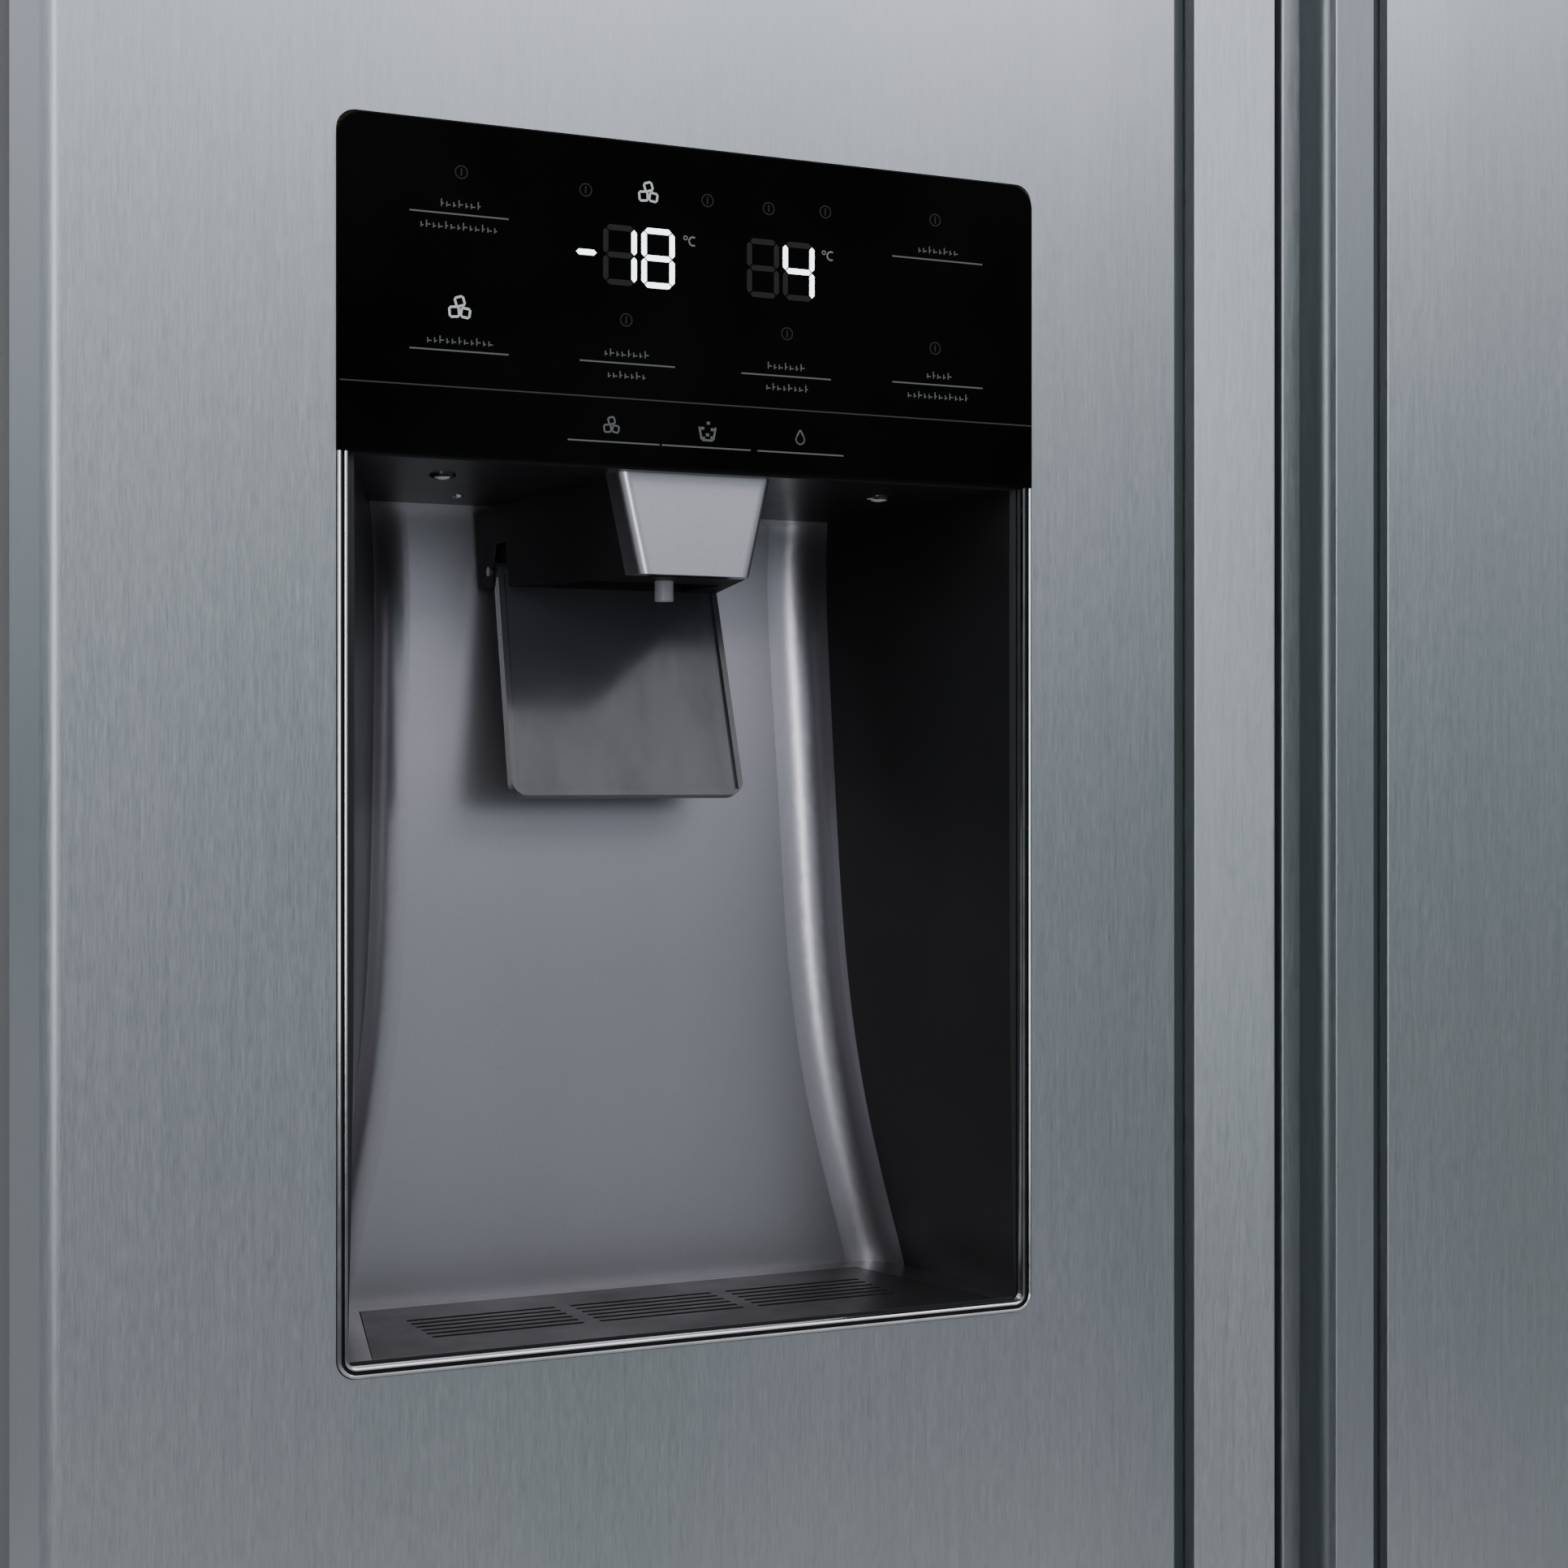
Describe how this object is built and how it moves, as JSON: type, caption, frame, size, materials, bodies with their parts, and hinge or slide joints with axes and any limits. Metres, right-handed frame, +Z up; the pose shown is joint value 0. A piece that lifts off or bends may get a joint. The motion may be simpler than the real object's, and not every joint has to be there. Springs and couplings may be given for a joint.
{
  "type": "side by side refrigerator",
  "caption": "Side by side refrigerator in brushed steel: full-height grip ridges at the centre, and an ice and water dispenser in the freezer door.",
  "frame": {"origin": "on the floor, at the middle of the appliance's footprint", "axes": "+Z up, the doors face -Y, +X to the right of a person who faces the doors"},
  "size_m": [0.91, 0.7158, 1.786],
  "materials": {
    "brushed_steel": "vertical brushed, satin clear coat",
    "cabinet_paint": "textured satin grey paint",
    "galvanised_sheet": "plain zinc",
    "liner_white": "moulded white, soft gloss",
    "foam": "rigid insulation foam",
    "clear_plastic": "clear moulded",
    "shelf_glass": "toughened clear glass",
    "gasket_rubber": "matte grey",
    "black_gloss": "piano black",
    "black_plastic": "fine moulded grain",
    "dark_paddle": "dark grey gloss",
    "silver_plastic": "satin silver lacquer",
    "trim_chrome": "bright",
    "panel_glass": "black back-printed glass",
    "nozzle_plastic": "frosted",
    "compressor_black": "black enamel",
    "zinc_steel": "zinc plated",
    "aluminium_fin": "bare fin stock",
    "brass_fitting": "machined",
    "grey_plastic": "fine moulded grain",
    "white_plastic": "fine moulded grain",
    "lamp_lens": "frosted lens"
  },
  "bodies": {
    "cabinet": {"cabinet_shell": "cabinet_paint", "freezer_liner": "liner_white", "fridge_liner": "liner_white", "insulation_foam": "foam", "back_panel": "galvanised_sheet", "wall_buffers": "black_plastic", "base_frame": "galvanised_sheet", "kick_grille": "grey_plastic", "machine_cover": "galvanised_sheet", "compressor": "compressor_black", "condenser_coil": "aluminium_fin", "water_valve": "white_plastic", "power_inlet": "black_plastic", "evaporator": "aluminium_fin", "air_ducts": "white_plastic", "glass_shelves": "shelf_glass", "ice_bucket": "clear_plastic", "ice_maker": "white_plastic", "control_housing": "white_plastic", "interior_lamps": "lamp_lens", "door_hinges": "zinc_steel", "hinge_covers": "grey_plastic"},
    "freezer_door": {"freezer_door_skin": "brushed_steel", "freezer_door_grip": "brushed_steel", "freezer_door_foam": "foam", "freezer_door_liner": "liner_white", "freezer_door_caps": "grey_plastic", "freezer_door_gasket": "gasket_rubber", "freezer_door_bins": "clear_plastic", "dispenser_housing": "black_gloss", "dispenser_back": "silver_plastic", "spout_body": "black_plastic", "spout_cap": "silver_plastic", "dispenser_trim": "trim_chrome", "control_glass": "panel_glass", "water_nozzle": "nozzle_plastic"},
    "fridge_door": {"fridge_door_skin": "brushed_steel", "fridge_door_grip": "brushed_steel", "fridge_door_foam": "foam", "fridge_door_liner": "liner_white", "fridge_door_caps": "grey_plastic", "fridge_door_gasket": "gasket_rubber", "fridge_door_bins": "clear_plastic"},
    "dispenser_paddle": {"paddle": "dark_paddle"},
    "ice_chute_flap": {"chute_flap": "black_plastic"},
    "drip_tray_unit": {"drip_tray": "black_plastic", "drip_grille": "black_plastic"},
    "dairy_lid_flap": {"dairy_lid": "clear_plastic"},
    "freezer_lower_drawer": {"freezer_drawer_lower": "clear_plastic"},
    "freezer_upper_drawer": {"freezer_drawer_upper": "clear_plastic"},
    "crisper_lower_drawer": {"crisper_drawer_lower": "clear_plastic"},
    "crisper_upper_drawer": {"crisper_drawer_upper": "clear_plastic"},
    "ice_auger_shaft": {"ice_auger": "zinc_steel"},
    "water_filter_cartridge": {"water_filter": "white_plastic"},
    "condenser_fan_wheel": {"condenser_fan": "black_plastic"},
    "evaporator_fan_wheel": {"evaporator_fan": "white_plastic"},
    "left_foot": {"foot_left": "black_plastic"},
    "right_foot": {"foot_right": "black_plastic"},
    "left_roller": {"roller_left": "white_plastic"},
    "right_roller": {"roller_right": "white_plastic"}
  },
  "joints": [
    {"name": "freezer_door_hinge", "type": "hinge", "parent": "cabinet", "child": "freezer_door", "pos_m": [-0.433, -0.318, 0.098], "axis": [0, 0, -1], "range_deg": [0, 125]},
    {"name": "fridge_door_hinge", "type": "hinge", "parent": "cabinet", "child": "fridge_door", "pos_m": [0.433, -0.318, 0.098], "axis": [0, 0, 1], "range_deg": [0, 125]},
    {"name": "dispenser_paddle_hinge", "type": "hinge", "parent": "freezer_door", "child": "dispenser_paddle", "pos_m": [-0.253, -0.261, 1.199], "axis": [1, 0, 0], "range_deg": [0, 12], "stiffness_Nm_per_rad": 0.6},
    {"name": "chute_flap_hinge", "type": "hinge", "parent": "freezer_door", "child": "ice_chute_flap", "pos_m": [-0.253, -0.2712, 1.265], "axis": [1, 0, 0], "range_deg": [0, 48]},
    {"name": "drip_tray_lift", "type": "slide", "parent": "freezer_door", "child": "drip_tray_unit", "axis": [0, 0, 1], "range_m": [0, 0.04]},
    {"name": "dairy_lid_hinge", "type": "hinge", "parent": "fridge_door", "child": "dairy_lid_flap", "pos_m": [0.2115, -0.277, 1.578], "axis": [1, 0, 0], "range_deg": [0, 85]},
    {"name": "freezer_lower_drawer_slide", "type": "slide", "parent": "cabinet", "child": "freezer_lower_drawer", "axis": [0, -1, 0], "range_m": [0, 0.025]},
    {"name": "freezer_upper_drawer_slide", "type": "slide", "parent": "cabinet", "child": "freezer_upper_drawer", "axis": [0, -1, 0], "range_m": [0, 0.025]},
    {"name": "crisper_lower_drawer_slide", "type": "slide", "parent": "cabinet", "child": "crisper_lower_drawer", "axis": [0, -1, 0], "range_m": [0, 0.022]},
    {"name": "crisper_upper_drawer_slide", "type": "slide", "parent": "cabinet", "child": "crisper_upper_drawer", "axis": [0, -1, 0], "range_m": [0, 0.022]},
    {"name": "ice_auger_turn", "type": "hinge", "parent": "cabinet", "child": "ice_auger_shaft", "pos_m": [-0.253, 0, 1.432], "axis": [0, 1, 0], "continuous": true},
    {"name": "water_filter_twist", "type": "hinge", "parent": "cabinet", "child": "water_filter_cartridge", "pos_m": [0.355, 0, 1.662], "axis": [0, 1, 0], "range_deg": [0, 90]},
    {"name": "condenser_fan_spin", "type": "hinge", "parent": "cabinet", "child": "condenser_fan_wheel", "pos_m": [-0.13, 0.25, 0.166], "axis": [1, 0, 0], "continuous": true},
    {"name": "evaporator_fan_spin", "type": "hinge", "parent": "cabinet", "child": "evaporator_fan_wheel", "pos_m": [-0.233, 0.27, 1.1], "axis": [0, 1, 0], "continuous": true},
    {"name": "left_foot_screw", "type": "hinge", "parent": "cabinet", "child": "left_foot", "pos_m": [-0.4, -0.228, 0.05], "axis": [0, 0, 1], "continuous": true},
    {"name": "right_foot_screw", "type": "hinge", "parent": "cabinet", "child": "right_foot", "pos_m": [0.4, -0.228, 0.05], "axis": [0, 0, 1], "continuous": true},
    {"name": "left_roller_spin", "type": "hinge", "parent": "cabinet", "child": "left_roller", "pos_m": [-0.4, 0.296, 0.024], "axis": [1, 0, 0], "continuous": true},
    {"name": "right_roller_spin", "type": "hinge", "parent": "cabinet", "child": "right_roller", "pos_m": [0.4, 0.296, 0.024], "axis": [1, 0, 0], "continuous": true}
  ],
  "couplings": [
    {"joint": "chute_flap_hinge", "follows": "dispenser_paddle_hinge", "ratio": 4}
  ]
}
